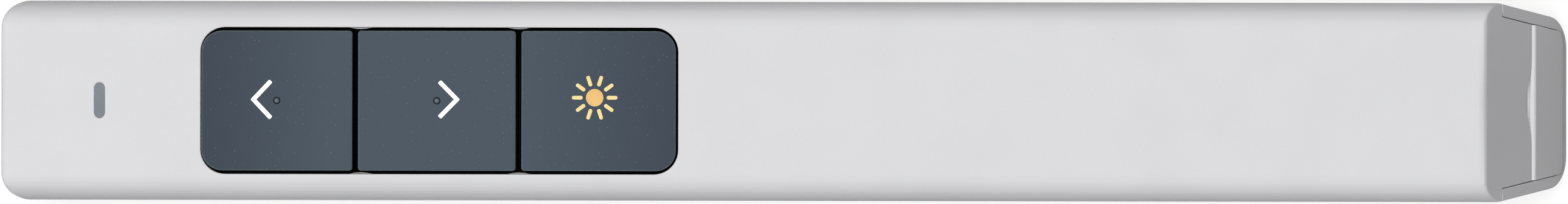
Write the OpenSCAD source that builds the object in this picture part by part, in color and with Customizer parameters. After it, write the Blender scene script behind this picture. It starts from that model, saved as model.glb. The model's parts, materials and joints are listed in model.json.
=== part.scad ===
// Slim wireless presenter with a laser, three keys and a USB receiver in its tail.
// Millimetres, +Z up, +X towards the tail, the laser leaves at -X.

/* [Body] */
// least room from the cell to the outer side
side_room = 3.75; // [3.4:0.05:4.5]
// least room from the plug to the outer side
plug_room = 3; // [2.8:0.1:4]
// least room over the cell
head_room = 0.85; // [0.8:0.05:2]
// inward lean of the sides, degrees
side_draft = 7; // [5:1:8]
// rounding of the two long top edges
top_edge_radius = 2.5; // [2.3:0.1:2.8]
// rounding of the two long bottom edges
bottom_edge_radius = 3; // [2.5:0.1:3.2]
// rounding of the two long bottom edges inside
inner_edge_radius = 0.95; // [0.8:0.05:1.3]
// thickness of sides and floor
wall = 1.1; // [1:0.05:1.2]
// thickness of the top over the keys' flanges
top_wall = 1.3; // [1.2:0.05:1.4]
// thickness of the front wall
front_wall = 1.2; // [1:0.1:1.4]
// rounding of the two front corners seen from above
front_corner_radius = 2.8; // [2.2:0.1:3.2]
// rounding of the front edges seen from the side
front_edge_radius = 0.6; // [0.3:0.05:0.8]
// height of the top cover's side edge
cover_depth = 3; // [2.8:0.1:3.2]
// open line between top cover and lower shells
seam = 0.1; // [0.06:0.02:0.14]

/* [Tail] */
// how far the tail leans back from top to bottom
tail_run = 9.4; // [8:0.2:10]
// rounding between top and tail
tail_edge_radius = 1.1; // [0.6:0.1:1.6]
// thickness of the slanted tail wall
tail_wall = 1.2; // [1:0.1:1.4]
// side clearance of the tail wall in the rear cover
tail_gap = 0.1; // [0.08:0.01:0.16]
// width of the nail notch
notch_width = 9.2; // [6:0.2:10]
// height of the nail notch
notch_height = 0.95; // [0.6:0.05:1.2]
// bevel on the inner edge of the rear opening
rim_bevel = 0.3; // [0.2:0.05:0.4]

/* [Keys] */
// top face beside the key pocket
pocket_rim = 2.4; // [2.1:0.1:2.7]
// corner radius of the key pocket
pocket_corner = 2.2; // [2:0.1:2.8]
// length of the front key
key_length_previous = 13.6; // [13:0.1:14]
// length of the middle key
key_length_next = 14.2; // [13.6:0.1:14.6]
// length of the rear key
key_length_laser = 13.9; // [13.4:0.1:14.4]
// open line between two keys
key_gap = 0.5; // [0.4:0.05:0.6]
// open line at the front end of the pocket
key_front_gap = 0.1; // [0.1:0.05:0.3]
// open line at the rear end of the pocket
key_rear_gap = 0.2; // [0.15:0.05:0.4]
// open line along the pocket sides
key_side_gap = 0.3; // [0.25:0.05:0.4]
// height of the keys over the top face
key_proud = 0.5; // [0.3:0.1:0.7]
// travel of a key
key_travel = 0.4; // [0.2:0.05:0.45]
// thickness of a key's top
key_plate = 1.2; // [1:0.1:1.4]
// thickness of a key's skirt
key_skirt = 0.9; // [0.7:0.1:1.1]
// thickness of a key's flange
flange_thick = 0.7; // [0.6:0.05:0.75]
// play between a flange's end and the cover's side
flange_side_gap = 0.26; // [0.2:0.02:0.4]
// play between flange and cover
flange_play = 0.1; // [0.06:0.02:0.14]
// diameter of the feel dot on two keys
dot_size = 0.7; // [0.5:0.1:0.9]
// height of the feel dot
dot_rise = 0.15; // [0.1:0.05:0.2]
// length of the guide bumps on the pocket walls
bump_length = 2.2; // [1.8:0.1:2.4]
// how far a guide bump stands out
bump_rise = 0.14; // [0.1:0.01:0.18]
// thickness of the dark mat over the switches
mat_thick = 0.15; // [0.1:0.05:0.2]

/* [Indicator] */
// front face to the middle of the indicator
indicator_start = 8.9; // [8.6:0.1:9.4]
// indicator size along the body
indicator_length = 0.9; // [0.8:0.1:1.1]
// indicator size across the body
indicator_width = 3.1; // [2.6:0.1:3.4]

/* [Board] */
// board thickness
board_thick = 1; // [0.8:0.1:1.2]
// play between board and sides
board_gap = 0.5; // [0.3:0.05:0.7]
// cover underside to board
boss_height = 3.5; // [3.4:0.05:3.6]
// outer diameter of the screw bosses
boss_size = 3.2; // [3:0.1:3.3]
// shank diameter of the small screws
screw_size = 1.5; // [1.4:0.1:1.6]
// tact switch footprint
switch_size = 4.6; // [4.2:0.1:5]
// tact switch height without plunger
switch_height = 1.6; // [1.5:0.05:1.65]
// plunger diameter
plunger_size = 2; // [1.8:0.1:2.4]

/* [Laser] */
// barrel diameter
laser_size = 6; // [5.6:0.1:6.2]
// barrel length
laser_length = 9; // [8.6:0.1:9.1]
// aperture diameter in the front wall
aperture = 4; // [3.4:0.1:4.4]
// window disc diameter
window_size = 5.6; // [5.4:0.1:5.8]
// window disc thickness
window_thick = 1; // [0.8:0.1:1.1]
// room under the barrel
laser_room = 0.6; // [0.5:0.1:1]
// room over the barrel
laser_head_room = 0.5; // [0.3:0.1:0.8]

/* [Battery] */
// cell diameter
cell_size = 10.5; // [10.3:0.1:10.5]
// cell length with its nub
cell_length = 44.5; // [44:0.1:44.7]
// nub length
nub_length = 1; // [0.8:0.1:1.2]
// nub diameter
nub_size = 3.8; // [3.4:0.1:4]
// room for the spring
spring_length = 5.1; // [4.8:0.1:5.2]
// spring wire diameter
spring_wire = 0.5; // [0.4:0.05:0.6]
// spring turns
spring_turns = 4; // [3:1:4]
// contact plate thickness
contact_thick = 0.3; // [0.2:0.05:0.35]
// thickness of the box end walls
box_end = 1.2; // [1:0.1:1.3]
// thickness of the box side walls
box_side = 0.85; // [0.8:0.05:0.9]

/* [Receiver] */
// cap height beyond the plug's
cap_over = 0.23; // [0.2:0.01:0.6]
// front end of the cap to the foot of the tail
cap_length = 8.5; // [8.2:0.1:9]
// how far the cap stands out of the tail
cap_proud = 0.26; // [0.1:0.02:0.3]
// width of the nail groove in the cap
nail_width = 4; // [3:0.2:6]
// clearance of the cap in its bay
cap_gap = 0.12; // [0.1:0.01:0.15]
// plug width
plug_width = 12; // [11.9:0.1:12.1]
// plug height
plug_height = 4.5; // [4.4:0.1:4.5]
// plug length
plug_length = 12; // [11.6:0.1:12.2]
// plug sheet thickness
plug_sheet = 0.3; // [0.25:0.05:0.35]
// rounding of the plug's long edges
plug_corner = 0.6; // [0.4:0.1:0.8]
// room between battery box and receiver stop
bay_gap = 1.4; // [0.4:0.1:6]

/* [Hidden] */
$fn = 48;
arc_steps = 10;
eps = 0.4;
fit = 0.05;
far = 200;

cell_gap = 0.25;
laser_play = 0.1;
body_height = top_wall + wall + max(cell_gap + cell_size + head_room,
    laser_room + laser_size + laser_head_room + board_thick + boss_height);
body_width = max(cell_size + 2 * side_room, plug_width + 2 * plug_room);
top_under = body_height - top_wall;
parting = body_height - cover_depth;

post_size = 5.2;
laser_board_thick = 0.8;
lead_room = 0.9;
pocket_margin = 0.8;
nose = front_wall + window_thick + laser_play + laser_length + laser_board_thick + lead_room;
pocket_start = nose + post_size / 2 + boss_size / 2 + pocket_margin;
pocket_length = key_length_previous + key_length_next + key_length_laser + 2 * key_gap
    + key_front_gap + key_rear_gap;
shoulder = 2 * pocket_margin + boss_size / 2 + post_size / 2 + 0.7;
box_lap = 0.2;
box_length = 2 * box_end + 2 * contact_thick + cell_length + spring_length;
stop_rib = 1;
slide_gap = 0.2;
body_length = pocket_start + pocket_length + shoulder - box_lap + box_length + bay_gap
    + stop_rib + slide_gap + plug_length + cap_length;
front = -body_length / 2;
tail = body_length / 2;
tail_top = tail - tail_run;
tail_angle = atan2(body_height, tail_run);
tail_wall_x = tail_wall / sin(tail_angle);

top_centre_y = body_width / 2 - top_edge_radius;
top_centre_z = body_height - top_edge_radius;

pocket_width = body_width - 2 * pocket_rim;
pocket_front = front + pocket_start;
pocket_rear = pocket_front + pocket_length;
previous_front = pocket_front + key_front_gap;
next_front = previous_front + key_length_previous + key_gap;
laser_front = next_front + key_length_next + key_gap;
key_y = pocket_width / 2 - key_side_gap;
key_top = body_height + key_proud;
flange_top = top_under - flange_play;
flange_base = flange_top - flange_thick;
flange_y = top_centre_y - flange_side_gap
    + sqrt(pow(top_edge_radius - wall, 2) - pow(flange_top - top_centre_z, 2));
corner_ease = 0.2;
key_front_corner = pocket_corner - key_front_gap - corner_ease;
key_rear_corner = pocket_corner - key_rear_gap - corner_ease;
key_inner_corner = 0.3;
stem_size = 3;
bump_radius = (pow(bump_length / 2, 2) + pow(bump_rise, 2)) / (2 * bump_rise);
bump_below = 0.12;
bump_shift = 0.44;
dot_radius = (pow(dot_size / 2, 2) + pow(dot_rise, 2)) / (2 * dot_rise);

indicator_x = front + indicator_start;
guide_flange = 0.5;
guide_flange_thick = 0.6;
guide_gap = 0.2;

board_top = top_under - boss_height;
board_base = board_top - board_thick;
board_width = 2 * (side_y(board_base, wall) - board_gap);
board_end_gap = 1;
front_post_x = front + nose + post_size / 2;
front_boss_x = front_post_x - boss_size / 2;
rear_boss_x = pocket_rear + pocket_margin + boss_size / 2 + 0.7;
seam_x = pocket_rear + shoulder;
board_front = front + front_wall + front_corner_radius - wall;
board_rear = seam_x - board_end_gap;
boss_edge = 2;
boss_y = board_width / 2 - boss_edge;
screw_hole = screw_size + 0.1;
screw_pass = screw_size + 0.4;
screw_depth = 2.4;
screw_spare = 0.3;
head_size = 2.8;
head_thick = 0.9;
case_head_size = 3.2;
case_head_thick = 1.2;
case_bore = case_head_size + 0.5;
case_seat = 4.4;
case_screw_top = top_under - 0.8;
screw_cross = 0.35;
ear_thick = 1;

switch_top = board_top + switch_height;
switch_plate_thick = 0.3;
switch_floor = 0.4;
plunger_top = switch_top + key_travel + 0.3;
plunger_base = switch_top - 0.7;
plunger_gap = 0.1;
plunger_foot = 0.35;
mat_over = 0.4;
mat_hole = plunger_size + 1.2;
leg_size = [0.4, 0.8, 0.3];
led_size = [1.2, 2, 0.6];
chip_size = [6, 6, 0.9];
chip_gap = 0.5;
crystal_size = [2.5, 3.2, 0.8];
passive_size = [1, 0.6, 0.5];
passive_pitch = 2;
passive_y = board_width / 2 - boss_edge;

window_front = front + front_wall;
laser_start = window_front + window_thick + laser_play;
laser_end = laser_start + laser_length;
laser_z = board_base - laser_head_room - laser_size / 2;
laser_bore = laser_size - 1;
lens_thick = 1.6;
lens_start = laser_start + 1;
diode_flange = 1.2;
diode_start = laser_end - diode_flange - 2.4;
cradle_thick = 1.2;
cradle_front_x = laser_start + 1.6;
cradle_rear_x = laser_end - 2.6;
flare = 0.5;
lead_size = 0.8;
lead_sides = 8;
lead_out = post_size / 2 + 1.2;

cell_z = wall + cell_gap + cell_size / 2;
box_front = seam_x - box_lap;
positive_x = box_front + box_end;
nub_front = positive_x + contact_thick;
cell_front = nub_front + nub_length;
cell_rear = nub_front + cell_length;
negative_x = cell_rear + spring_length;
box_rear_wall = negative_x + contact_thick;
box_rear = box_rear_wall + box_end;
box_in_y = cell_size / 2 + slide_gap;
box_out_y = box_in_y + box_side;
box_base = 3.8;
box_end_base = 2.2;
hook_height = 0.8;
hook_top = box_base + hook_height;
hook_y = side_y(box_base, wall) - slide_gap;
bead_base = hook_top + slide_gap;
bead_height = 0.7;
bead_y = box_out_y + slide_gap;
bead_front = seam_x + 3;
bead_rear = box_rear - 2;
box_boss = 2.7;
ear_length = boss_size + 2.4;
ear_x = box_rear + ear_length / 2;
ear_y = box_out_y - 2.5;
ear_top = top_under - box_boss;
contact_size = 8.6;
contact_base = cell_z - contact_size / 2;
lead_gap = 0.15;
lead_slot = 1.4;
lead_y = box_in_y - lead_slot / 2 - fit;
lead_z = top_under - lead_size / 2 - lead_gap;
tab_width = 1.4;
tab_y = -boss_size / 2 - tab_width / 2 - 0.2;
tab_end = board_rear - tab_width / 2;

cap_base = wall + cap_gap;
cap_height = plug_height + cap_over;
cap_top = cap_base + cap_height;
cap_front = tail - cap_length;
tongue_base = cap_top + cap_gap;
plug_end = cap_front - plug_length;
plug_z = (cap_base + cap_top) / 2;
stop_height = 5;
stop_x = plug_end - slide_gap - stop_rib;
tongue_thick = 1.9;
tongue_y = plug_width / 2 - plug_corner;
tongue_low = plug_z - plug_height / 2 + plug_sheet + fit;
pin_size = [8, 1, 0.12];
pin_pitch = 2.2;
receiver_board_size = [3.4, 10.4, 0.8];
nail_groove = 0.18;
notch_sharp = 1.4;
nail_back = 0.53;
grip_pitch = 1.6;
grip_count = 6;
grip_depth = 0.3;
grip_width = 0.7;
lap_length = 1.6;
lap_thick = 0.6;
lap_y = 4.5;
lip_depth = 1;
lip_thick = 0.6;

white = [0.86, 0.86, 0.87];
slate = [0.30, 0.33, 0.37];
grey = [0.52, 0.54, 0.57];
dark = [0.12, 0.12, 0.13];
board_green = [0.10, 0.33, 0.20];
steel = [0.72, 0.73, 0.75];
brass = [0.78, 0.62, 0.30];
gold = [0.86, 0.70, 0.34];
clear = [0.80, 0.85, 0.90];
red = [0.65, 0.08, 0.08];
cell_colour = [0.20, 0.22, 0.25];

// half-width of the leaning side at height z, inset from the outer face
function side_y(z, inset) = top_centre_y + (z - top_centre_z) * tan(side_draft)
    + (top_edge_radius - inset) / cos(side_draft);

// the bottom edges have their own rounding on the outer and on the inner faces
function bottom_radius(inset) = inset < wall / 2 ? bottom_edge_radius - inset
    : inner_edge_radius + wall - inset;

function bottom_y(inset) = side_y(inset + bottom_radius(inset), inset)
    - bottom_radius(inset) / cos(side_draft);

// x of the slanted tail face at height z
function tail_x(z) = tail - tail_run * z / body_height;

function arc(c, r, from, to) = [for (i = [0:arc_steps])
    let (a = from + (to - from) * i / arc_steps)
    [c[0] + r * cos(a), c[1] + r * sin(a)]];

function flip(points) = [for (i = [len(points) - 1:-1:0]) [-points[i][0], points[i][1]]];

function half_section(inset) = concat(
    arc([top_centre_y, top_centre_z], top_edge_radius - inset, 90, -side_draft),
    arc([bottom_y(inset), inset + bottom_radius(inset)], bottom_radius(inset),
        -side_draft, -90));

// across the body: y and z of the body inset by a wall
function section(inset) = concat(half_section(inset), flip(half_section(inset)));

// rectangle with its own radius at the low-x and the high-x corners
function round_box(x0, x1, y, r0, r1) = concat(
    arc([x1 - r1, y - r1], r1, 90, 0),
    arc([x1 - r1, -y + r1], r1, 0, -90),
    arc([x0 + r0, -y + r0], r0, -90, -180),
    arc([x0 + r0, y - r0], r0, 180, 90));

function unit(v) = v / norm(v);

function way(path, i) = unit(path[min(i + 1, len(path) - 1)] - path[max(i - 1, 0)]);

function square_to(n, t) = unit(n - (n * t) * t);

// rings of a tube, each turned no more than its path turns
function rings(path, r, sides, first) = [
    for (i = 0, n = square_to(first, way(path, 0));
        i < len(path);
        i = i + 1, n = i < len(path) ? square_to(n, way(path, i)) : n)
    let (b = cross(way(path, i), n))
    for (k = [0:sides - 1])
    path[i] + r * cos(360 * k / sides) * n + r * sin(360 * k / sides) * b];

// centre line of the contact spring: a straight end, a narrowing coil, a straight end
spring_steps = 10;
spring_wide = 3.4;
spring_slim = 2.3;
spring_low = negative_x - spring_wire * 1.2;
spring_high = cell_rear + spring_wire * 1.2;
spring_path = concat(
    [[negative_x - fit, spring_wide, cell_z]],
    [for (i = [0:spring_turns * spring_steps])
        let (s = i / (spring_turns * spring_steps), a = 360 * i / spring_steps,
            r = spring_wide + (spring_slim - spring_wide) * s)
        [spring_low + (spring_high - spring_low) * s, r * cos(a), cell_z + r * sin(a)]],
    [[cell_rear + fit, spring_slim, cell_z]]);
spring_least = min([for (i = [1:len(spring_path) - spring_steps - 2])
    norm(spring_path[i + spring_steps] - spring_path[i])]) - spring_wire;
echo(spring_gap = spring_least);

// an outline in y and z, drawn out along x
module along_x(from, to) {
    translate([from, 0, 0])
        rotate([90, 0, 90])
            linear_extrude(to - from) children();
}

// an outline in x and z, drawn out evenly to both sides
module along_y(width) {
    rotate([90, 0, 0])
        linear_extrude(width, center = true) children();
}

module block(low, high) {
    translate(low) cube(high - low);
}

module rod(x, y, z, size, height) {
    translate([x, y, z]) cylinder(d = size, h = height);
}

module disc(x, z, size, length) {
    translate([x, 0, z]) rotate([0, 90, 0]) cylinder(d = size, h = length);
}

module tube(path, size, sides, first) {
    count = len(path);
    polyhedron(
        points = rings(path, size / 2, sides, first),
        faces = concat(
            [[for (k = [sides - 1:-1:0]) k]],
            [[for (k = [0:sides - 1]) (count - 1) * sides + k]],
            [for (i = [0:count - 2]) for (k = [0:sides - 1])
                [i * sides + k, i * sides + (k + 1) % sides,
                (i + 1) * sides + (k + 1) % sides, (i + 1) * sides + k]]));
}

// side view of the body: rounded front edges, rounded tail edge, slanted tail
module side_outline() {
    tangent = tail_edge_radius * tan(tail_angle / 2);
    polygon(concat(
        [[tail, 0]],
        arc([tail_top - tangent, body_height - tail_edge_radius], tail_edge_radius,
            90 - tail_angle, 90),
        arc([front + front_edge_radius, body_height - front_edge_radius], front_edge_radius,
            90, 180),
        arc([front + front_edge_radius, front_edge_radius], front_edge_radius, 180, 270)));
}

// everything in front of the tail face, shifted along x, between two heights
module before_tail(from, shift, low, high) {
    polygon([[from, low], [tail_x(low) + shift, low], [tail_x(high) + shift, high],
        [from, high]]);
}

module body_block() {
    intersection() {
        along_x(front, tail) polygon(section(0));
        along_y(body_width + 1) side_outline();
        linear_extrude(body_height) polygon(round_box(front, tail + front_corner_radius,
            body_width / 2 + 1e-3, front_corner_radius, front_corner_radius));
    }
}

module cavity(from, to) {
    intersection() {
        along_x(from, to) polygon(section(wall));
        linear_extrude(body_height) polygon(round_box(front + front_wall, to + front_wall,
            body_width / 2 - wall, front_corner_radius - wall, front_corner_radius - wall));
    }
}

module ring_section(outer, inner) {
    difference() {
        polygon(section(outer));
        polygon(section(inner));
    }
}

module slab(from, to, low, high) {
    block([from, -body_width, low], [to, body_width, high]);
}

module key_pocket(shrink, low, high) {
    translate([0, 0, low])
        linear_extrude(high - low)
            polygon(round_box(pocket_front + shrink, pocket_rear - shrink,
                pocket_width / 2 - shrink, pocket_corner - shrink, pocket_corner - shrink));
}

module pill(x, length, width, low, high) {
    straight = (width - length) / 2;
    translate([x, 0, low])
        linear_extrude(high - low)
            polygon(concat(
                arc([0, straight], length / 2, 0, 180),
                arc([0, -straight], length / 2, 180, 360)));
}

module screw_boss(x, y, base) {
    rod(x, y, base, boss_size, top_under - base + eps);
}

module at_board_screws() {
    for (x = [front_boss_x, rear_boss_x])
        for (y = [-boss_y, boss_y])
            translate([x, y, 0]) children();
}

module at_case_screws() {
    for (x = [front_post_x, rear_boss_x])
        translate([x, 0, 0]) children();
}

module at_box_screws() {
    for (y = [-ear_y, ear_y])
        translate([ear_x, y, 0]) children();
}

// pan head under the seat, shank upwards, cross recess from below
module screw(seat, top, size, head, thick) {
    difference() {
        union() {
            translate([0, 0, seat - thick]) cylinder(d = head, h = thick);
            translate([0, 0, seat - thick / 2]) cylinder(d = size, h = top - seat + thick / 2);
        }
        for (turn = [0, 90])
            rotate(turn)
                translate([0, 0, seat - thick])
                    cube([head * 0.6, screw_cross, thick], center = true);
    }
}

// inner lip that keeps top cover and front shell in line
module cover_lip() {
    from = front + front_corner_radius + front_wall;
    to = seam_x - 1;
    intersection() {
        along_x(from, to) ring_section(wall + tail_gap, wall + lip_thick);
        slab(from, to, parting - lip_depth, parting + eps);
    }
    intersection() {
        along_x(from, to) ring_section(wall - eps, wall + lip_thick);
        slab(from, to, parting + seam / 2, parting + eps);
    }
}

module tail_tongue() {
    intersection() {
        along_x(tail_top - tail_wall_x - 1, tail) polygon(section(wall + tail_gap));
        along_y(body_width) difference() {
            side_outline();
            before_tail(front - 1, -tail_wall_x, 0, body_height);
        }
        slab(tail_top - far / 10, tail, tongue_base, parting + eps);
    }
}

module nail_notch() {
    half = notch_width / 2;
    along_x(tail_top, tail)
        polygon(concat(
            [[half, tongue_base - eps]],
            [for (i = [0:4 * arc_steps]) let (y = half * (1 - i / (2 * arc_steps)))
                [y, tongue_base + notch_height * pow((1 + cos(180 * y / half)) / 2, notch_sharp)]],
            [[-half, tongue_base - eps]]));
}

module top_cover() {
    color(white) {
        difference() {
            union() {
                difference() {
                    intersection() {
                        body_block();
                        slab(front - 1, tail + 1, parting + seam / 2, body_height + 1);
                    }
                    intersection() {
                        cavity(front + front_wall, tail);
                        slab(front, tail, parting - 1, top_under);
                        along_y(body_width)
                            before_tail(front, -tail_wall_x, parting - 1, body_height);
                    }
                }
                tail_tongue();
                cover_lip();
                at_board_screws() screw_boss(0, 0, board_top);
                at_case_screws() screw_boss(0, 0, board_top);
                at_box_screws() screw_boss(0, 0, ear_top);
            }
            key_pocket(0, top_under - 1, body_height + 1);
            pill(indicator_x, indicator_length + 2 * fit, indicator_width + 2 * fit,
                top_under - 1, body_height + 1);
            at_board_screws() rod(0, 0, board_top - 1, screw_hole, screw_depth + screw_spare + 1);
            at_case_screws()
                rod(0, 0, board_top - 1, screw_hole, case_screw_top - board_top + screw_spare + 1);
            at_box_screws() rod(0, 0, ear_top - 1, screw_hole, box_boss - screw_spare);
            nail_notch();
        }
        for (x = [next_front - key_gap / 2 + bump_shift, laser_front - key_gap / 2])
            for (side = [-1, 1])
                intersection() {
                    translate([x, side * (pocket_width / 2 + bump_radius - bump_rise), top_under])
                        cylinder(r = bump_radius, h = top_wall - bump_below);
                    block([x - bump_length, side * pocket_width / 2 - eps, top_under],
                        [x + bump_length, side * pocket_width / 2 + eps, body_height]);
                }
    }
}

module front_shell() {
    color(white) difference() {
        union() {
            difference() {
                intersection() {
                    body_block();
                    slab(front - 1, seam_x, -1, parting - seam / 2);
                }
                cavity(front + front_wall, seam_x + 1);
            }
            for (x = [cradle_front_x, cradle_rear_x])
                intersection() {
                    along_x(x, x + cradle_thick) polygon(section(wall - eps));
                    slab(x, x + cradle_thick, 0, laser_z);
                }
            rod(front_post_x, 0, wall - eps, post_size, board_base - wall + eps);
            rod(rear_boss_x, 0, wall - eps, post_size, board_base - ear_thick - wall + eps);
            block([seam_x - 2 * lap_length, -lap_y, wall - eps], [seam_x, lap_y, wall + lap_thick]);
            block([seam_x - lap_length, -lap_y, wall + tail_gap],
                [seam_x + lap_length, lap_y, wall + lap_thick]);
        }
        disc(laser_start, laser_z, laser_size + 2 * fit, laser_length + 1);
        disc(front - 1, laser_z, aperture, front_wall + 2);
        translate([front - fit, 0, laser_z])
            rotate([0, 90, 0])
                cylinder(d1 = aperture + 2 * flare, d2 = aperture, h = flare);
        at_case_screws() {
            rod(0, 0, -1, case_bore, case_seat + 1);
            rod(0, 0, 0, screw_pass, board_top);
        }
    }
}

module rear_cover() {
    from = seam_x + seam;
    color(white) difference() {
        union() {
            difference() {
                intersection() {
                    body_block();
                    slab(from, tail + 1, -1, parting - seam / 2);
                }
                along_x(from - 1, tail + 1) polygon(section(wall));
            }
            intersection() {
                along_x(stop_x, stop_x + stop_rib) polygon(section(wall - eps));
                slab(stop_x, stop_x + stop_rib, 0, stop_height);
            }
            for (side = [-1, 1])
                intersection() {
                    along_x(bead_front, bead_rear) polygon(section(wall - eps));
                    block([bead_front, side * (body_width + bead_y) / 2 - (body_width - bead_y) / 2,
                        bead_base], [bead_rear,
                        side * (body_width + bead_y) / 2 + (body_width - bead_y) / 2,
                        bead_base + bead_height]);
                }
        }
        for (i = [0:grip_count - 1])
            translate([bead_front + 8 + i * grip_pitch, 0, 0])
                along_y(2 * lap_y)
                    polygon([[-grip_width / 2, -eps], [grip_width / 2, -eps],
                        [grip_width / 2, 0], [0, grip_depth], [-grip_width / 2, 0]]);
        along_y(2 * bottom_y(wall))
            polygon([[tail_x(wall) - rim_bevel, wall], [tail_x(wall - rim_bevel), wall - rim_bevel],
                [tail + 1, wall - rim_bevel], [tail + 1, wall + eps],
                [tail_x(wall) - rim_bevel, wall + eps]]);
    }
}

module light_guide() {
    color(grey) {
        pill(indicator_x, indicator_length, indicator_width,
            board_top + led_size[2] + guide_gap, body_height - fit);
        pill(indicator_x, indicator_length + 2 * guide_flange, indicator_width + 2 * guide_flange,
            top_under - guide_flange_thick, top_under);
    }
}

module laser_window() {
    color(clear) disc(window_front, laser_z, window_size, window_thick);
}

// one key: top plate, skirt, two side flanges and a stem on the switch
module key(x, length, front_corner, rear_corner, has_dot) {
    middle = x + length / 2;
    color(slate) {
        difference() {
            translate([0, 0, flange_base])
                linear_extrude(key_top - flange_base)
                    polygon(round_box(x, x + length, key_y, front_corner, rear_corner));
            block([x + key_skirt, -key_y + key_skirt, flange_base - 1],
                [x + length - key_skirt, key_y - key_skirt, key_top - key_plate]);
        }
        for (side = [-1, 1])
            translate([middle, side * (flange_y + key_y - key_skirt) / 2,
                flange_base + flange_thick / 2])
                cube([length - 2 * max(key_front_corner, key_rear_corner),
                    flange_y - key_y + key_skirt, flange_thick], center = true);
        rod(middle, 0, plunger_top, stem_size, key_top - key_plate - plunger_top + eps);
        if (has_dot)
            intersection() {
                translate([middle, 0, key_top + dot_rise - dot_radius]) sphere(dot_radius);
                slab(x, x + length, key_top - key_plate / 2, key_top + 1);
            }
    }
}

module key_previous() {
    key(previous_front, key_length_previous, key_front_corner, key_inner_corner, true);
}

module key_next() {
    key(next_front, key_length_next, key_inner_corner, key_inner_corner, true);
}

module key_laser() {
    key(laser_front, key_length_laser, key_inner_corner, key_rear_corner, false);
}

function switch_x(which) = which == "previous" ? previous_front + key_length_previous / 2
    : which == "next" ? next_front + key_length_next / 2
    : laser_front + key_length_laser / 2;

module switch_base(which) {
    half = switch_size / 2;
    color(dark) translate([switch_x(which), 0, 0]) difference() {
        block([-half, -half, board_top], [half, half, switch_top - switch_plate_thick]);
        rod(0, 0, board_top + switch_floor, plunger_size + 1, switch_height);
    }
}

module switch_plate(which) {
    half = switch_size / 2;
    color(steel) translate([switch_x(which), 0, 0]) {
        difference() {
            block([-half, -half, switch_top - switch_plate_thick], [half, half, switch_top]);
            rod(0, 0, board_top, plunger_size + 2 * plunger_gap, boss_height);
        }
        for (side = [-1, 1])
            for (end = [-1, 1])
                translate([side * (half + leg_size[0] / 2), end * (half - leg_size[1]),
                    board_top + leg_size[2] / 2])
                    cube(leg_size, center = true);
    }
}

module switch_plunger(which) {
    color(dark) translate([switch_x(which), 0, 0]) {
        rod(0, 0, plunger_base, plunger_size, plunger_top - plunger_base);
        rod(0, 0, plunger_base, plunger_size + 0.6, plunger_foot);
    }
}

// thin sheet that lies on the three switches and darkens the lines between the keys
module key_mat() {
    color(dark) difference() {
        block([pocket_front - mat_over, -pocket_width / 2, switch_top],
            [pocket_rear + mat_over, pocket_width / 2, switch_top + mat_thick]);
        for (which = ["previous", "next", "laser"])
            rod(switch_x(which), 0, switch_top - 1, mat_hole, 2);
    }
}

module main_board() {
    color(board_green) difference() {
        block([board_front, -board_width / 2, board_base], [board_rear, board_width / 2, board_top]);
        at_board_screws() rod(0, 0, 0, screw_pass, body_height);
        at_case_screws() rod(0, 0, 0, screw_pass, body_height);
    }
}

module radio_chip() {
    x = switch_x("next") - switch_size / 2 - chip_gap - chip_size[0] / 2;
    color(dark) translate([x, 0, board_base - chip_size[2] / 2]) cube(chip_size, center = true);
}

module crystal() {
    x = switch_x("next") + switch_size / 2;
    color(steel) translate([x, 0, board_base - crystal_size[2] / 2])
        cube(crystal_size, center = true);
}

module board_passives() {
    color(brass)
        for (i = [0:4])
            for (side = [-1, 1])
                translate([switch_x("next") - i * passive_pitch, side * passive_y,
                    board_base - passive_size[2] / 2])
                    cube(passive_size, center = true);
}

module indicator_led() {
    color(clear) translate([indicator_x, 0, board_top + led_size[2] / 2])
        cube(led_size, center = true);
}

module board_screws() {
    color(steel) at_board_screws()
        screw(board_base, board_top + screw_depth, screw_size, head_size, head_thick);
}

module case_screws() {
    color(steel) at_case_screws()
        screw(case_seat, case_screw_top, screw_size, case_head_size, case_head_thick);
}

module laser_barrel() {
    color(brass) difference() {
        disc(laser_start, laser_z, laser_size, laser_length);
        disc(laser_start - 1, laser_z, laser_bore - 1, laser_length + 2);
        disc(lens_start, laser_z, laser_bore, laser_length);
    }
}

module laser_lens() {
    color(clear) disc(lens_start, laser_z, laser_bore - 2 * fit, lens_thick);
}

module laser_diode() {
    color(steel) {
        disc(diode_start, laser_z, laser_bore - 1, laser_end - diode_start);
        disc(laser_end - diode_flange, laser_z, laser_bore - 2 * fit, diode_flange);
    }
}

module laser_board() {
    color(board_green) disc(laser_end, laser_z, laser_size - 0.4, laser_board_thick);
}

module laser_leads() {
    start = laser_end + laser_board_thick;
    color(red)
        for (side = [-1, 1])
            tube([[start, side * laser_size / 4, laser_z],
                [start + lead_size / 2, side * laser_size / 4, laser_z],
                [start + lead_size, side * laser_size / 3, laser_z],
                [front_post_x - post_size / 4, side * lead_out, laser_z + lead_size],
                [front_post_x + post_size / 4, side * lead_out, laser_z + 2 * lead_size],
                [front_post_x + post_size / 2, side * lead_out, board_base - lead_size],
                [front_post_x + post_size / 2, side * lead_out, board_base - lead_size / 2],
                [front_post_x + post_size / 2, side * lead_out, board_base]],
                lead_size, lead_sides, [0, 0, 1]);
}

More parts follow.
